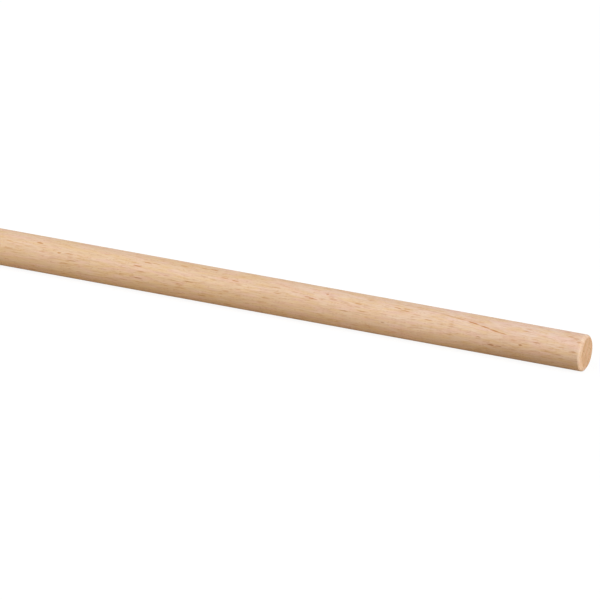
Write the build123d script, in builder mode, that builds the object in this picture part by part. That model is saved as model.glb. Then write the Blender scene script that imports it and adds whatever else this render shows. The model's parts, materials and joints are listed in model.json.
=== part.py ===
"""Round wooden dowel rod: one straight turned piece, sawn square and sanded round at both end edges.

The rod lies along X. The origin is at mid-length on its own axis.
"""

import os

from build123d import *

# Driving dimensions, in millimetres
rod_diameter = 12.7  # half-inch stock
rod_length = 304.8  # twelve inches, from end face to end face
end_round = 1.1  # radius of the sanded edge at each end

with BuildPart() as dowel_rod:
    with BuildSketch(Plane.YZ):
        Circle(rod_diameter / 2)
    extrude(amount=rod_length / 2, both=True)
    end_edges = dowel_rod.edges().filter_by(GeomType.CIRCLE)
    fillet(end_edges, radius=end_round)
dowel_rod.part.label = "dowel_rod"

os.makedirs("parts", exist_ok=True)
export_step(dowel_rod.part, "parts/dowel_rod.step")
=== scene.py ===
"""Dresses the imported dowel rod: a rod of pale hardwood that lies on a white floor, in soft light.

Sizes are in millimetres until a mesh, a light or the camera is made, and in metres from there on. The
rod lies along X. An angle round it is that of the outward direction: 0 towards -Y, where the camera
stands, and 90 straight up.
"""

import json
import math

import bpy
import numpy as np
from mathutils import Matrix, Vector, noise

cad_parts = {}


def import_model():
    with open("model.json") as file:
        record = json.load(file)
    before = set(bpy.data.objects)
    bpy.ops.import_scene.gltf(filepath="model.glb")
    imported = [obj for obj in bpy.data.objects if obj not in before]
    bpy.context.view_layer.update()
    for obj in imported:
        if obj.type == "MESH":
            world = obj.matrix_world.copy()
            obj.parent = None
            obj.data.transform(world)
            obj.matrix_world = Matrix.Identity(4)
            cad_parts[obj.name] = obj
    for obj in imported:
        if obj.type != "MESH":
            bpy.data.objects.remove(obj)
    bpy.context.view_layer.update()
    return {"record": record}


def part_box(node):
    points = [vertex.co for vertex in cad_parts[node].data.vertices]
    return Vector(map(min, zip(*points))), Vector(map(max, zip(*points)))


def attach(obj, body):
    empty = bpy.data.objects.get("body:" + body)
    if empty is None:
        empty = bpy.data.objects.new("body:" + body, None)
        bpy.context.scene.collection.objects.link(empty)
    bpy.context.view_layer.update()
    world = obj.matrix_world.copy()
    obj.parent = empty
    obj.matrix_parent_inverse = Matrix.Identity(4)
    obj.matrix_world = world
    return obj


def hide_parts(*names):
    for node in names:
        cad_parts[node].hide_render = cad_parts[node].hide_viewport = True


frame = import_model()

MM = 0.001

# ---- The rod, from the frame ----
rod_low, rod_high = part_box("dowel_rod")
HALF_LENGTH = rod_high.x / MM
HALF_WIDTH = rod_high.y / MM
HALF_HEIGHT = rod_high.z / MM
SHANK = next(m for m in frame["record"]["mounts"] if m["name"] == "shank")
EDGE = HALF_LENGTH - SHANK["dims"]["length_mm"] / 2  # radius of the sanded edge
LOWEST = rod_low.z  # in metres

# ---- Mesh: steps round the rod, along it, over each edge and across each end face ----
ROUND_STEPS = 256
LONG_STEPS = 340
EDGE_STEPS = 7
FACE_STEPS = 14

# ---- Mesh: wear, all of it cut inwards. A size is about how long the features are in X, Y and Z ----
SANDING_DEPTH = 0.022  # of the long shallow waves that sanding leaves in the side
SANDING_SIZE = (38, 5.5, 5.5)
GRAIN_DEPTH = 0.012  # of the raised grain on it
GRAIN_SIZE = (9, 0.5, 0.5)
PORE_DEPTH = 0.025  # of the pores in the end faces
PORE_SIZE = (50, 0.45, 0.45)
SAW_DEPTH = 0.03  # of the lines that the saw leaves across them
SAW_SIZE = (50, 0.5, 6)
MIDDLE_DEPTH = 0.02  # of each end face's middle point
SAWN_OFFSET = 0.9  # how far off the rod's axis the sawn part of each end face lies, in Y
SAWN_RADIUS = 5.25  # of the sawn part: what is left of the face beyond it is sanded
RIM_START = SAWN_RADIUS - 0.2  # where the sanded rim starts to fall back
RIM_SLOPE = 0.16  # how far it falls back for each mm outwards

# ---- The UV map for baking, 1 wide and 1 high ----
STRIP_START = 0.003
STRIP_LENGTH = 0.994
STRIP_HEIGHT = 0.42
LEFT_STRIP_BASE = 0.010
RIGHT_STRIP_BASE = 0.445
LEFT_DISC = 0.25
RIGHT_DISC = 0.75
DISC_LEVEL = 0.935
DISC_RADIUS = 0.055

# ---- Wood: how the rod was cut from its tree ----
FLAT_GRAIN_ANGLE = 36.0  # the side that the growth rings run flat along
PITH_DISTANCE = 30.0  # from the rod's axis to the middle of the tree
RUNOUT = 0.0355  # how far the rings lean across for each mm along the rod
TIP_FROM_END = 27.5  # the tip of the ring that comes to the surface near the end
RING_WIDTH = 3.4
RINGS_BELOW = 50.0  # added to the count of rings, so that it never falls below zero
LATE_WOOD_PHASE = (0.35, 0.97)  # how far through its width a ring starts to darken and is darkest
LINE_INNER_SIDE = (0.86, 0.955)  # the same for the line that ends it
LINE_OUTER_SIDE = (1.0, 0.975)
RING_WOBBLE = 0.5  # how far a ring wanders in and out
SWAY = 1.6  # how far the whole grain wanders in Y and Z

# ---- Wood: about how long the features of each pattern are, in X, Y and Z ----
SWAY_SIZE = (60, 25, 25)
WOBBLE_SIZE = (45, 4, 4)
PATCH_SIZE = (30, 3.5, 3.5)
HONEY_SIZE = (7, 1.1, 1.1)
ROSE_SIZE = (9, 1.5, 1.5)
ROSE_SHIFT = (40, 0, 0)  # so that the rose patches don't follow the honey ones
RAGGED_SIZE = (1.6, 0.5, 0.5)
RAGGED_REACH = (1.0, 0.22, 0.0)  # how far a mark's outline wanders along the rod and round it

# ---- Wood: the same along the tree's trunk, round its middle, and out from there ----
FIBRE_SIZE = (9.0, 0.28, 0.28)
THREAD_SIZE = (3.2, 0.15, 0.15)
END_PORE_SIZE = (40, 0.16, 0.16)
RAY_SIZE = (40, 0.20, 6.0)

# ---- Wood: surface ----
BUMP_STRENGTH = 0.35
BUMP_DEPTH = 0.06
FIBRE_RISE = 0.6  # how high the fibres stand, as a share of the bump's depth
THREAD_SINK = 0.35  # how deep the threads between them lie, in the same way
FLECK_SINK = 0.6
SPECULAR = 0.35
SMOOTHEST = 0.50
ROUGHEST = 0.64
MARK_ROUGHNESS = 0.12  # added where there is a mark
EDGE_FACING = (0.10, 0.45)  # how much the surface faces X where the edge's look starts and is full
END_FACING = (0.88, 0.995)  # the same for the end grain's look
SAWN_BORDER = 0.22  # half the width of the soft border between an end face's sawn part and its rim
SAWN_UNEVEN = 0.9  # how far that border wanders
RIM_END_GRAIN = 0.42  # how much of the end grain's look is left on the rim
PINKER_FROM = 150  # distance from the +X end where the wood starts to turn pinker
PINKEST_AT = 10


def srgb(red, green, blue):
    """A display colour from 0 to 1 as the linear colour that Blender's sockets take."""
    linear = [c / 12.92 if c <= 0.04045 else ((c + 0.055) / 1.055) ** 2.4 for c in (red, green, blue)]
    return (*linear, 1.0)


# ---- Wood: colours of the side ----
WARM = srgb(0.941, 0.810, 0.667)
PINK = srgb(0.962, 0.846, 0.774)
HONEY = srgb(0.942, 0.793, 0.594)
ROSE = srgb(0.962, 0.798, 0.735)
LATE_WOOD = srgb(0.86, 0.70, 0.54)
RING_LINE = srgb(0.80, 0.60, 0.42)
DARK_FIBRE = srgb(0.80, 0.60, 0.41)
PALE_FIBRE = srgb(0.985, 0.89, 0.80)
THREAD = srgb(0.80, 0.58, 0.38)
TINY_FLECK = srgb(0.82, 0.58, 0.38)
FINE_FLECK = srgb(0.82, 0.58, 0.36)
COARSE_FLECK = srgb(0.80, 0.54, 0.31)
LOW_MARK = srgb(0.73, 0.48, 0.27)
HIGH_MARK = srgb(0.79, 0.51, 0.24)
# painted shade: the tint that darkens the lower side near the +X end
PAINTED_SHADE_TINT = srgb(0.925, 0.910, 0.885)
# paler sanded edge, partly a painted highlight where the rounding catches the light
SANDED_EDGE_AND_HIGHLIGHT = srgb(0.985, 0.90, 0.81)

# ---- Wood: colours of the end faces ----
END_WOOD = srgb(0.865, 0.727, 0.595)
END_PORE = srgb(0.67, 0.48, 0.32)
END_LATE_WOOD = srgb(0.79, 0.61, 0.44)
END_RING_LINE = srgb(0.72, 0.52, 0.36)
END_ROSE = srgb(0.90, 0.71, 0.58)
END_HONEY = srgb(0.80, 0.64, 0.46)
RAY = srgb(0.95, 0.83, 0.69)
DARK_SPOT = srgb(0.60, 0.41, 0.25)
DARK_SPOT_AT = (HALF_LENGTH, -2.44, 1.69)

# ---- Flecks: size of the cells that they lie in, the share of cells that hold one, and how far from
# a cell's point, in cells, the fleck fades out and is full ----
TINY_FLECKS = ((1.2, 0.30, 1.0), 0.40, 0.46, 0.16)
FINE_FLECKS = ((3.4, 0.30, 1.1), 0.34, 0.52, 0.20)
COARSE_FLECKS = ((4.4, 0.38, 1.5), 0.09, 0.50, 0.22)
WEAKEST_FLECK = 0.35  # as a share of the strongest

# ---- Marks: distance from the +X end, angle, length, width, strength, lean in degrees ----
MARKS = [
    # the broken line of pores along the leaning ring near the end
    (48.8, 67.0, 4.0, 0.30, 0.58, 4.0),
    (44.8, 62.5, 4.4, 0.36, 0.65, 6.0),
    (39.6, 56.5, 4.4, 0.48, 1.10, 8.0),
    (35.0, 49.5, 3.6, 0.46, 1.05, 9.0),
    (31.6, 43.5, 4.0, 0.50, 1.08, 8.0),
    (28.8, 40.0, 3.4, 0.38, 1.00, 4.0),
    # single flecks
    (4.8, 71.5, 2.6, 0.80, 0.58, 3.0),
    (2.7, 66.5, 2.6, 0.95, 0.50, 0.0),
    (1.3, 55.5, 2.2, 0.80, 0.55, -4.0),
    (7.6, 6.0, 2.4, 0.50, 0.45, 0.0),
    (2.5, 22.0, 2.0, 0.50, 0.70, 0.0),
    (16.0, 30.0, 3.0, 0.34, 0.85, 0.0),
    (21.6, 14.5, 1.4, 0.50, 1.15, 0.0),
    (32.2, -2.0, 2.4, 0.46, 1.15, 0.0),
    (29.2, -1.8, 2.2, 0.40, 0.75, 0.0),
    (36.8, 16.3, 1.9, 0.38, 0.76, 0.0),
    (47.3, 7.5, 3.0, 0.30, 0.45, 0.0),
    (55.8, 40.0, 3.0, 0.36, 0.82, 0.0),
    (64.8, 56.3, 3.4, 0.36, 0.90, 4.0),
    (67.8, 61.2, 3.0, 0.38, 1.05, 4.0),
    (72.0, 6.5, 1.7, 0.38, 0.84, 0.0),
    (80.2, 29.0, 3.2, 0.28, 0.70, 3.0),
    (82.0, 50.3, 3.2, 0.32, 0.90, 3.0),
    (86.6, 21.0, 3.6, 0.34, 0.90, 0.0),
    (93.8, 64.5, 1.3, 0.48, 0.78, 0.0),
    (98.4, 40.6, 3.4, 0.36, 1.00, 0.0),
    (100.4, 43.6, 2.4, 0.36, 0.80, 0.0),
    (111.6, 37.5, 3.0, 0.34, 0.80, 0.0),
    (116.2, 17.2, 4.0, 0.26, 0.62, 0.0),
    (128.0, 52.5, 3.0, 0.36, 0.98, 3.0),
    (132.2, 56.0, 3.4, 0.32, 0.74, 3.0),
    (137.2, 82.0, 3.2, 0.50, 1.10, 0.0),
    (140.6, 80.5, 4.0, 0.46, 0.80, 0.0),
    (144.7, 23.3, 3.4, 0.32, 0.95, 0.0),
    (151.0, 18.6, 3.4, 0.34, 0.60, 0.0),
    (161.5, 61.2, 3.2, 0.40, 0.95, 2.0),
    (158.4, 62.5, 3.4, 0.34, 0.65, 2.0),
    (164.8, 43.6, 3.4, 0.34, 1.05, 0.0),
    (163.0, 28.0, 3.2, 0.30, 0.80, 0.0),
    (163.8, 6.5, 3.4, 0.38, 0.95, 0.0),
    (189.4, 22.0, 4.0, 0.32, 0.80, 0.0),
    (190.8, 42.4, 3.6, 0.36, 0.84, 0.0),
    (194.7, 40.0, 1.4, 0.60, 0.76, 0.0),
    (202.9, 62.0, 2.6, 0.48, 1.15, 0.0),
]
# Painted shade: a broad darker streak low on the side by the +X end, in the same order
PAINTED_SHADE = (0.0, -31.0, 110.0, 10.0, 1.0, 0.0)
# How far out a mark and the painted shade fade to nothing, and where both are full, in their own radii
MARK_FADE = 1.35
PAINTED_SHADE_FADE = 1.15
SPOT_FULL = 0.45

# ---- Floor and world: distances on the floor are in metres ----
FLOOR_WIDTH = 20.0
FLOOR_GLOW = 1.05  # brightness that the camera sees, where 1 is white
FLOOR_BOUNCE = (0.57, 0.485, 0.355, 1)  # the colour that the rod sees
SHADED_SHARE = 0.12  # how much of the floor takes light and shadow near the rod: the rest only glows
SHADED_TO = 0.25  # how far out that share starts to fall
SHADED_END = 0.9  # how far out it is nothing
# Painted contact shadow: the floor's colour darkens where the rod meets it
CONTACT_SHADOW_REACH = 0.20  # of the dark line where the rod meets the floor, in millimetres
CONTACT_SHADOW_COLOUR = (0.22, 0.14, 0.09, 1)
WHITE = (1, 1, 1, 1)
SKY_LIGHT = 0.25

# ---- Lamps: name, place and width in metres, power in watts, whether the wood's gloss shows it ----
LAMPS = [
    ("overhead", (-0.72, -0.72, 1.24), 1.2, 16.4, True),
    ("side", (1.51, -0.09, 0.52), 1.2, 17.6, True),
    ("back", (-0.85, 1.27, 0.15), 0.28, 7.0, False),
]

# ---- Camera: in metres and degrees ----
CAMERA_AZIMUTH = 24.2
CAMERA_ELEVATION = 23.9
CAMERA_DISTANCE = 2.120
CAMERA_LENS = 379
AIM_LEFT = 0.09615  # of the middle of the +X end face, as the camera sees it
AIM_UP = 0.01791


# ---- Mesh ----
def relief(points, size, seed):
    """Smooth noise from 0 to 1 at each point, from a different part of the noise for each seed."""
    shift = Vector((seed * 17.3, seed * 7.9, seed * 3.1))
    sx, sy, sz = size
    raw = np.array([noise.noise(Vector((x / sx, y / sy, z / sz)) + shift) for x, y, z in points])
    return 0.5 + 0.5 * raw


def rod_profile():
    """The rod's half outline, from one end face to the other: distances along it, and radii."""
    wall = np.linspace(-(HALF_LENGTH - EDGE), HALF_LENGTH - EDGE, LONG_STEPS + 1)
    turn = np.linspace(0, math.pi / 2, EDGE_STEPS + 1)[1:]
    edge_out = HALF_LENGTH - EDGE + EDGE * np.sin(turn)
    edge_in = HALF_WIDTH - EDGE + EDGE * np.cos(turn)
    face = (HALF_WIDTH - EDGE) * (1 - np.linspace(0, 1, FACE_STEPS + 1)[1:-1])
    half_along = np.concatenate([edge_out, np.full(len(face), HALF_LENGTH)])
    half_radius = np.concatenate([edge_in, face])
    along = np.concatenate([-half_along[::-1], wall, half_along])
    radius = np.concatenate([half_radius[::-1], np.full(len(wall), HALF_WIDTH), half_radius])
    return along, radius


def worn_points(along, radius):
    """The rod's points, row after row from -X to +X, each row once round the rod."""
    angles = np.arange(ROUND_STEPS) * 2 * math.pi / ROUND_STEPS - math.pi / 2
    x = np.repeat(along, ROUND_STEPS)
    r = np.repeat(radius, ROUND_STEPS)
    a = np.tile(angles, len(along))
    y, z = -r * np.cos(a), r * np.sin(a) * HALF_HEIGHT / HALF_WIDTH
    points = np.stack([x, y, z], 1)
    near_end = np.clip((np.abs(x) - (HALF_LENGTH - EDGE)) / EDGE, 0, 1)

    sanding = SANDING_DEPTH * relief(points, SANDING_SIZE, 1)
    grain = GRAIN_DEPTH * relief(points, GRAIN_SIZE, 2)
    shrink = 1 - (sanding + grain) * (1 - near_end) / HALF_WIDTH
    y, z = y * shrink, z * shrink

    pores = PORE_DEPTH * relief(points, PORE_SIZE, 3)
    saw = SAW_DEPTH * relief(points, SAW_SIZE, 4)
    rim = RIM_SLOPE * np.clip(np.hypot(y - SAWN_OFFSET, z) - RIM_START, 0, 1)
    x = x - np.sign(x) * near_end * (pores + saw + rim)
    return np.stack([x, y, z], 1)


def rod_mesh():
    along, radius = rod_profile()
    middle = HALF_LENGTH - MIDDLE_DEPTH
    points = np.concatenate([worn_points(along, radius), [[-middle, 0, 0], [middle, 0, 0]]]) * MM
    rows, n = len(along), ROUND_STEPS
    i, j = np.meshgrid(np.arange(rows - 1), np.arange(n), indexing="ij")
    i, j = i.ravel(), j.ravel()
    k = (j + 1) % n
    quads = np.stack([i * n + j, (i + 1) * n + j, (i + 1) * n + k, i * n + k], 1)
    last_row = (rows - 1) * n
    left_middle = rows * n
    right_middle = left_middle + 1
    caps = [(left_middle, p, (p + 1) % n) for p in range(n)]
    caps += [(right_middle, last_row + (p + 1) % n, last_row + p) for p in range(n)]
    mesh = bpy.data.meshes.new("rod_wood")
    mesh.from_pydata(points.tolist(), [], quads.tolist() + caps)
    mesh.polygons.foreach_set("use_smooth", [True] * len(mesh.polygons))
    unwrap(mesh, along, radius)
    return mesh


def unwrap(mesh, along, radius):
    """Lays each half of the side, edge and all, in a strip of the map, and each end face in a disc."""
    run = np.concatenate([[0], np.cumsum(np.hypot(np.diff(along), np.diff(radius)))])
    run = run - run[len(run) // 2]
    on_side = np.flatnonzero(radius >= HALF_WIDTH - EDGE - 1e-6)
    longest = run[on_side[-1]]
    rows, n = len(along), ROUND_STEPS
    layout = np.empty((len(mesh.loops), 2), np.float32)
    at = 0

    def in_strip(row, step, right):
        u = run[row] / longest if right else 1 + run[row] / longest
        base = RIGHT_STRIP_BASE if right else LEFT_STRIP_BASE
        return STRIP_START + STRIP_LENGTH * u, base + STRIP_HEIGHT * step / n

    def in_disc(row, step, right):
        turn = 2 * math.pi * step / n - math.pi / 2
        reach = 0 if row is None else DISC_RADIUS * radius[row] / (HALF_WIDTH - EDGE)
        centre = RIGHT_DISC if right else LEFT_DISC
        return centre + reach * math.cos(turn), DISC_LEVEL + reach * math.sin(turn)

    for row in range(rows - 1):
        right = along[row] + along[row + 1] > 0
        place = in_strip if on_side[0] <= row and row + 1 <= on_side[-1] else in_disc
        for step in range(n):
            layout[at : at + 4] = [
                place(row, step, right), place(row + 1, step, right),
                place(row + 1, step + 1, right), place(row, step + 1, right),
            ]
            at += 4
    for row, right in ((0, False), (rows - 1, True)):
        for step in range(n):
            middle = in_disc(None, 0, right)
            rim = [in_disc(row, step, right), in_disc(row, step + 1, right)]
            layout[at : at + 3] = [middle, *(reversed(rim) if right else rim)]
            at += 3
    mesh.uv_layers.new(name="OFBake").uv.foreach_set("vector", layout.ravel())


# ---- Nodes ----
class Nodes:
    """The nodes of a material or world, with a short call for each kind.

    A value is a number, a vector, a colour or another node's socket.
    """

    def __init__(self, owner):
        owner.use_nodes = True
        self.tree = owner.node_tree
        self.tree.nodes.clear()

    def feed(self, socket, value):
        if isinstance(value, bpy.types.NodeSocket):
            self.tree.links.new(value, socket)
        else:
            socket.default_value = value

    def put(self, kind, *values, **settings):
        """A new node with these settings, whose first sockets take the values in turn."""
        node = self.tree.nodes.new(kind)
        for name, value in settings.items():
            setattr(node, name, value)
        for socket, value in zip(node.inputs, values):
            self.feed(socket, value)
        return node

    def maths(self, operation, *values):
        return self.put("ShaderNodeMath", *values, operation=operation).outputs[0]

    def vectors(self, operation, *values):
        return self.put("ShaderNodeVectorMath", *values, operation=operation).outputs["Vector"]

    def measure(self, operation, *values):
        return self.put("ShaderNodeVectorMath", *values, operation=operation).outputs["Value"]

    def combine(self, x, y, z):
        return self.put("ShaderNodeCombineXYZ", x, y, z).outputs[0]

    def split(self, vector):
        return self.put("ShaderNodeSeparateXYZ", vector).outputs

    def stretch(self, place, size):
        """The place for a texture whose features are to be of this size."""
        return self.vectors("MULTIPLY", place, tuple(1 / length for length in size))

    def noise(self, place, detail, rough):
        node = self.put("ShaderNodeTexNoise")
        self.feed(node.inputs["Vector"], place)
        node.inputs["Scale"].default_value = 1.0
        node.inputs["Detail"].default_value = detail
        node.inputs["Roughness"].default_value = rough
        return node

    def speckle(self, place, detail=2.0, rough=0.5):
        return self.noise(place, detail, rough).outputs["Fac"]

    def wander(self, place, reach, detail=2.0):
        """A vector that changes smoothly from place to place, by up to half of `reach` each way."""
        colour = self.noise(place, detail, 0.5).outputs["Color"]
        return self.vectors("MULTIPLY", self.vectors("SUBTRACT", colour, (0.5, 0.5, 0.5)), reach)

    def between(self, value, low, high, out_low=0.0, out_high=1.0):
        """Goes smoothly from out_low, where the value is `low`, to out_high, where it is `high`."""
        values = (value, low, high, out_low, out_high)
        return self.put("ShaderNodeMapRange", *values, interpolation_type="SMOOTHSTEP").outputs[0]

    def blend(self, share, one, other, kind="MIX"):
        node = self.put("ShaderNodeMix", data_type="RGBA", blend_type=kind)
        for name, value in (("Factor", share), ("A", one), ("B", other)):
            self.feed(node.inputs[name], value)
        return node.outputs["Result"]

    def cover(self, colour, layers):
        """The colour with each layer's own colour laid over it in turn, by that layer's share."""
        for share, other in layers:
            colour = self.blend(share, colour, other)
        return colour

    def mix_shaders(self, share, one, other):
        return self.put("ShaderNodeMixShader", share, one.outputs[0], other.outputs[0])


# ---- Wood ----
class Grain:
    """What varies from place to place in the wood: growth rings, patches, fibres and flecks."""

    def __init__(self, nodes, place):
        sway = nodes.wander(nodes.stretch(place, SWAY_SIZE), (0, SWAY, SWAY), 1.0)
        swayed = nodes.vectors("ADD", place, sway)
        x, y, z = nodes.split(swayed)

        # The same place as the tree has it: along its trunk, round its middle, and out from there
        flat = math.radians(FLAT_GRAIN_ANGLE)
        across = nodes.maths("MULTIPLY", y, -math.cos(flat))
        across = nodes.maths("ADD", across, nodes.maths("MULTIPLY", z, math.sin(flat)))
        side = nodes.maths("MULTIPLY", y, math.sin(flat))
        side = nodes.maths("ADD", side, nodes.maths("MULTIPLY", z, math.cos(flat)))
        from_tip = nodes.maths("SUBTRACT", x, HALF_LENGTH - TIP_FROM_END)
        lean = nodes.maths("MULTIPLY", from_tip, -RUNOUT)
        depth = nodes.maths("ADD", nodes.maths("ADD", across, PITH_DISTANCE), lean)
        depth_squared = nodes.maths("MULTIPLY", depth, depth)
        side_squared = nodes.maths("MULTIPLY", side, side)
        radius = nodes.maths("SQRT", nodes.maths("ADD", depth_squared, side_squared))
        turn = nodes.maths("MULTIPLY", nodes.maths("ARCTAN2", side, depth), PITH_DISTANCE)
        tree = nodes.combine(x, turn, radius)

        # Each growth ring darkens slowly outwards and ends in a thin line.
        wobble = nodes.maths("SUBTRACT", nodes.speckle(nodes.stretch(place, WOBBLE_SIZE)), 0.5)
        wobble = nodes.maths("MULTIPLY", wobble, RING_WOBBLE)
        outwards = nodes.maths("SUBTRACT", radius, PITH_DISTANCE + HALF_WIDTH)
        outwards = nodes.maths("ADD", outwards, wobble)
        ring = nodes.maths("DIVIDE", outwards, RING_WIDTH)
        phase = nodes.maths("FRACT", nodes.maths("ADD", ring, RINGS_BELOW))
        inner_side = nodes.between(phase, *LINE_INNER_SIDE)
        outer_side = nodes.between(phase, *LINE_OUTER_SIDE)
        self.late = nodes.between(phase, *LATE_WOOD_PHASE)
        self.line = nodes.maths("MULTIPLY", inner_side, outer_side)

        self.x = x
        self.patch = nodes.speckle(nodes.stretch(swayed, PATCH_SIZE))
        self.honey = nodes.speckle(nodes.stretch(swayed, HONEY_SIZE))
        self.rose = nodes.speckle(nodes.vectors("ADD", nodes.stretch(swayed, ROSE_SIZE), ROSE_SHIFT))
        self.fibre = nodes.speckle(nodes.stretch(tree, FIBRE_SIZE), 3.0, 0.6)
        self.thread = nodes.speckle(nodes.stretch(tree, THREAD_SIZE), 2.0, 0.6)
        self.fine = flecks(nodes, tree, *FINE_FLECKS)
        self.coarse = flecks(nodes, tree, *COARSE_FLECKS)
        self.tiny = flecks(nodes, tree, *TINY_FLECKS)
        self.pores = nodes.speckle(nodes.stretch(tree, END_PORE_SIZE), 1.0)
        self.rays = nodes.speckle(nodes.stretch(tree, RAY_SIZE), 1.0)


def flecks(nodes, tree, size, share, fade, full):
    """Short flecks along the grain, one in each chosen cell, some weaker than others."""
    cells = nodes.put("ShaderNodeTexVoronoi", feature="F1")
    nodes.feed(cells.inputs["Vector"], nodes.stretch(tree, size))
    cells.inputs["Scale"].default_value = 1.0
    pick = nodes.put("ShaderNodeSeparateColor", cells.outputs["Color"])
    chosen = nodes.maths("GREATER_THAN", pick.outputs[0], 1 - share)
    strength = nodes.between(pick.outputs[1], 0.0, 1.0, WEAKEST_FLECK, 1.0)
    blob = nodes.between(cells.outputs["Distance"], fade, full)
    return nodes.maths("MULTIPLY", nodes.maths("MULTIPLY", blob, chosen), strength)


def unrolled_side(nodes, place):
    """The side laid out flat: how far round a place is, and the whole place there, slightly ragged."""
    x, y, z = nodes.split(place)
    from_end = nodes.maths("SUBTRACT", HALF_LENGTH, x)
    angle = nodes.maths("ARCTAN2", z, nodes.maths("MULTIPLY", y, -1.0))
    arc = nodes.maths("MULTIPLY", angle, HALF_WIDTH)
    ragged = nodes.wander(nodes.stretch(place, RAGGED_SIZE), RAGGED_REACH)
    return arc, nodes.vectors("ADD", nodes.combine(from_end, arc, 0.0), ragged)


def spot(nodes, unrolled, fade, from_end, angle, length, width, strength, lean):
    """An ellipse on the unrolled side, full in its middle and gone at `fade` times its own radius."""
    local = nodes.put("ShaderNodeMapping", unrolled, vector_type="TEXTURE")
    local.inputs["Location"].default_value = (from_end, math.radians(angle) * HALF_WIDTH, 0)
    local.inputs["Rotation"].default_value = (0, 0, math.radians(lean))
    local.inputs["Scale"].default_value = (length / 2, width / 2, 1)
    away = nodes.measure("LENGTH", local.outputs[0])
    return nodes.between(away, fade, SPOT_FULL, 0.0, strength)


def marks_on(nodes, unrolled, thread):
    """Every mark of the list, broken up a little by the threads."""
    mark = 0.0
    for entry in MARKS:
        mark = nodes.maths("MAXIMUM", mark, spot(nodes, unrolled, MARK_FADE, *entry))
    return nodes.maths("MULTIPLY", mark, nodes.between(thread, 0.30, 0.62, 0.62, 1.0))


def side_colour(nodes, grain, arc, mark):
    """Pinker towards the +X end and more honey along the -Y side, with all that the grain adds."""
    by_end = nodes.between(grain.x, HALF_LENGTH - PINKER_FROM, HALF_LENGTH - PINKEST_AT, 0.0, 0.7)
    pinker = nodes.maths("ADD", by_end, nodes.between(grain.patch, 0.3, 0.7, -0.1, 0.3))
    mark_colour = nodes.blend(nodes.between(arc, 1.5, 5.0), LOW_MARK, HIGH_MARK)
    return nodes.cover(nodes.blend(pinker, WARM, PINK), [
        (nodes.between(nodes.maths("ABSOLUTE", arc), 6.5, 2.5, 0.0, 0.26), HONEY),
        (nodes.between(grain.honey, 0.42, 0.62, 0.0, 0.62), HONEY),
        (nodes.between(grain.rose, 0.45, 0.65, 0.0, 0.52), ROSE),
        (nodes.maths("MULTIPLY", grain.late, 0.12), LATE_WOOD),
        (nodes.maths("MULTIPLY", grain.line, 0.08), RING_LINE),
        (nodes.between(grain.fibre, 0.48, 0.78, 0.0, 0.45), DARK_FIBRE),
        (nodes.between(grain.fibre, 0.50, 0.25, 0.0, 0.45), PALE_FIBRE),
        (nodes.between(grain.thread, 0.52, 0.76, 0.0, 0.38), THREAD),
        (nodes.maths("MULTIPLY", grain.tiny, 0.40), TINY_FLECK),
        (nodes.maths("MULTIPLY", grain.fine, 0.46), FINE_FLECK),
        (nodes.maths("MULTIPLY", grain.coarse, 0.58), COARSE_FLECK),
        (nodes.maths("MULTIPLY", mark, 0.96), mark_colour),
    ])


def end_colour(nodes, grain, place):
    """End grain: pores, growth rings, patches, pale rays and one small dark spot."""
    pore = nodes.between(grain.pores, 0.5, 0.75, 0.0, 0.5)
    from_spot = nodes.measure("DISTANCE", place, DARK_SPOT_AT)
    return nodes.cover(nodes.blend(pore, END_WOOD, END_PORE), [
        (nodes.maths("MULTIPLY", grain.late, 0.74), END_LATE_WOOD),
        (nodes.maths("MULTIPLY", grain.line, 0.25), END_RING_LINE),
        (nodes.between(grain.rose, 0.40, 0.60, 0.0, 0.55), END_ROSE),
        (nodes.between(grain.honey, 0.44, 0.62, 0.0, 0.55), END_HONEY),
        (nodes.between(grain.rays, 0.56, 0.72, 0.0, 0.45), RAY),
        (nodes.between(from_spot, 0.42, 0.14, 0.0, 0.8), DARK_SPOT),
    ])


def sawn_part(nodes, place, honey):
    """1 on the sawn part of an end face, and less on the sanded rim round it."""
    from_middle = nodes.vectors("SUBTRACT", place, (0, SAWN_OFFSET, 0))
    away = nodes.measure("LENGTH", nodes.vectors("MULTIPLY", from_middle, (0, 1, 1)))
    uneven = nodes.maths("MULTIPLY", nodes.maths("SUBTRACT", honey, 0.5), SAWN_UNEVEN)
    away = nodes.maths("ADD", away, uneven)
    return nodes.between(away, SAWN_RADIUS + SAWN_BORDER, SAWN_RADIUS - SAWN_BORDER, RIM_END_GRAIN, 1.0)


def wood_bump(nodes, grain, end):
    """Raised fibres, with sunk threads, flecks and end pores.

    The marks stay out of it: with them it is too long for Cycles, which then renders the rod black.
    """
    height = nodes.maths("MULTIPLY", grain.fibre, FIBRE_RISE)
    height = nodes.maths("SUBTRACT", height, nodes.maths("MULTIPLY", grain.thread, THREAD_SINK))
    fleck = nodes.maths("MAXIMUM", grain.fine, grain.coarse)
    height = nodes.maths("SUBTRACT", height, nodes.maths("MULTIPLY", fleck, FLECK_SINK))
    height = nodes.maths("SUBTRACT", height, nodes.maths("MULTIPLY", grain.pores, end))
    bump = nodes.put("ShaderNodeBump")
    bump.inputs["Strength"].default_value = BUMP_STRENGTH
    bump.inputs["Distance"].default_value = BUMP_DEPTH * MM
    nodes.feed(bump.inputs["Height"], height)
    return bump.outputs[0]


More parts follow.
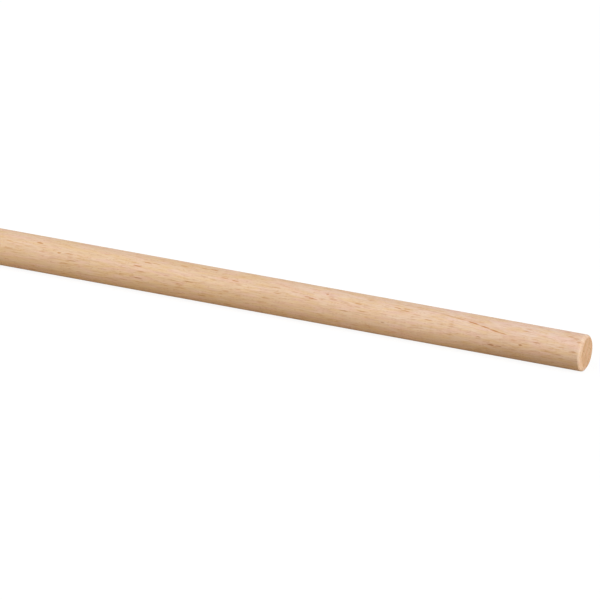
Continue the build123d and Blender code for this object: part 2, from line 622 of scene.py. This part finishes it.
def wood_material():
    material = bpy.data.materials.new("pale_hardwood")
    nodes = Nodes(material)
    coordinates = nodes.put("ShaderNodeTexCoord").outputs
    place = nodes.vectors("MULTIPLY", coordinates["Object"], (1 / MM, 1 / MM, 1 / MM))
    grain = Grain(nodes, place)
    arc, unrolled = unrolled_side(nodes, place)
    mark = marks_on(nodes, unrolled, grain.thread)

    facing = nodes.maths("ABSOLUTE", nodes.split(coordinates["Normal"])[0])
    edge = nodes.between(facing, *EDGE_FACING)
    sawn = sawn_part(nodes, place, grain.honey)
    end = nodes.maths("MULTIPLY", nodes.between(facing, *END_FACING), sawn)
    # Painted shade: darker low on the side near the +X end, kept off the rounded edge
    painted_shade = spot(nodes, unrolled, PAINTED_SHADE_FADE, *PAINTED_SHADE)
    painted_shade = nodes.maths("MULTIPLY", painted_shade, nodes.maths("SUBTRACT", 1.0, edge))

    colour = side_colour(nodes, grain, arc, mark)
    colour = nodes.blend(painted_shade, colour, PAINTED_SHADE_TINT, "MULTIPLY")
    # The rounded edge is paler: partly sanded wood, partly a painted highlight
    colour = nodes.blend(nodes.maths("MULTIPLY", edge, 0.16), colour, SANDED_EDGE_AND_HIGHLIGHT)
    colour = nodes.blend(end, colour, end_colour(nodes, grain, place))

    rough = nodes.between(grain.fibre, 0.2, 0.8, SMOOTHEST, ROUGHEST)
    rough = nodes.maths("ADD", rough, nodes.maths("MULTIPLY", mark, MARK_ROUGHNESS))

    shader = nodes.put("ShaderNodeBsdfPrincipled")
    nodes.feed(shader.inputs["Base Color"], colour)
    nodes.feed(shader.inputs["Roughness"], rough)
    nodes.feed(shader.inputs["Normal"], wood_bump(nodes, grain, end))
    shader.inputs["Specular IOR Level"].default_value = SPECULAR
    nodes.put("ShaderNodeOutputMaterial", shader.outputs[0])
    return material


# ---- Floor, world, lamps, camera ----
def floor():
    """White to the camera, with a little of the rod's shadow and a painted contact shadow, and pale tan
    to the rod.
    """
    bpy.ops.mesh.primitive_plane_add(size=FLOOR_WIDTH, location=(0, 0, LOWEST))
    plane = bpy.context.object
    plane.name = "floor"
    material = bpy.data.materials.new("floor")
    nodes = Nodes(material)
    # Painted contact shadow: ambient occlusion darkens the floor's colour, glow included, where the rod
    # meets it
    contact_shadow = nodes.put("ShaderNodeAmbientOcclusion")
    contact_shadow.inputs["Distance"].default_value = CONTACT_SHADOW_REACH * MM
    colour = nodes.blend(contact_shadow.outputs["AO"], CONTACT_SHADOW_COLOUR, WHITE)
    glow = nodes.put("ShaderNodeEmission", colour, FLOOR_GLOW)
    shaded = nodes.put("ShaderNodeBsdfDiffuse", colour)
    away = nodes.measure("LENGTH", nodes.put("ShaderNodeTexCoord").outputs["Object"])
    share = nodes.between(away, SHADED_TO, SHADED_END, SHADED_SHARE, 0.0)
    seen = nodes.mix_shaders(share, glow, shaded)
    bounce = nodes.put("ShaderNodeBsdfDiffuse", FLOOR_BOUNCE)
    by_camera = nodes.put("ShaderNodeLightPath").outputs["Is Camera Ray"]
    nodes.put("ShaderNodeOutputMaterial", nodes.mix_shaders(by_camera, bounce, seen).outputs[0])
    plane.data.materials.append(material)


def world():
    """White to the camera, and a weak even light to the rod."""
    made = bpy.data.worlds.new("studio")
    bpy.context.scene.world = made
    nodes = Nodes(made)
    soft = nodes.put("ShaderNodeBackground", WHITE, SKY_LIGHT)
    seen = nodes.put("ShaderNodeBackground", WHITE, 1.0)
    by_camera = nodes.put("ShaderNodeLightPath").outputs["Is Camera Ray"]
    nodes.put("ShaderNodeOutputWorld", nodes.mix_shaders(by_camera, soft, seen).outputs[0])


def lamp(name, place, width, power, gloss):
    """A square soft lamp that faces the rod's middle."""
    data = bpy.data.lights.new(name, "AREA")
    data.size = width
    data.energy = power
    made = bpy.data.objects.new(name, data)
    made.location = place
    made.rotation_euler = (-Vector(place)).to_track_quat("-Z", "Y").to_euler()
    made.visible_camera = False
    made.visible_glossy = gloss
    bpy.context.scene.collection.objects.link(made)


def camera():
    azimuth, elevation = math.radians(CAMERA_AZIMUTH), math.radians(CAMERA_ELEVATION)
    back = Vector((
        math.sin(azimuth) * math.cos(elevation),
        -math.cos(azimuth) * math.cos(elevation),
        math.sin(elevation),
    ))
    right = Vector((math.cos(azimuth), math.sin(azimuth), 0))
    up = back.cross(right)
    aim = Vector((HALF_LENGTH * MM, 0, 0)) - right * AIM_LEFT + up * AIM_UP
    data = bpy.data.cameras.new("camera")
    data.lens = CAMERA_LENS
    data.clip_end = 100
    made = bpy.data.objects.new("camera", data)
    made.location = aim + back * CAMERA_DISTANCE
    made.rotation_euler = (-back).to_track_quat("-Z", "Y").to_euler()
    bpy.context.scene.collection.objects.link(made)
    bpy.context.scene.camera = made


rod = bpy.data.objects.new("rod_wood", rod_mesh())
bpy.context.scene.collection.objects.link(rod)
rod.data.materials.append(wood_material())
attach(rod, "root")
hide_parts("dowel_rod")

floor()
world()
for entry in LAMPS:
    lamp(*entry)
camera()
bpy.context.scene.view_settings.view_transform = "Standard"
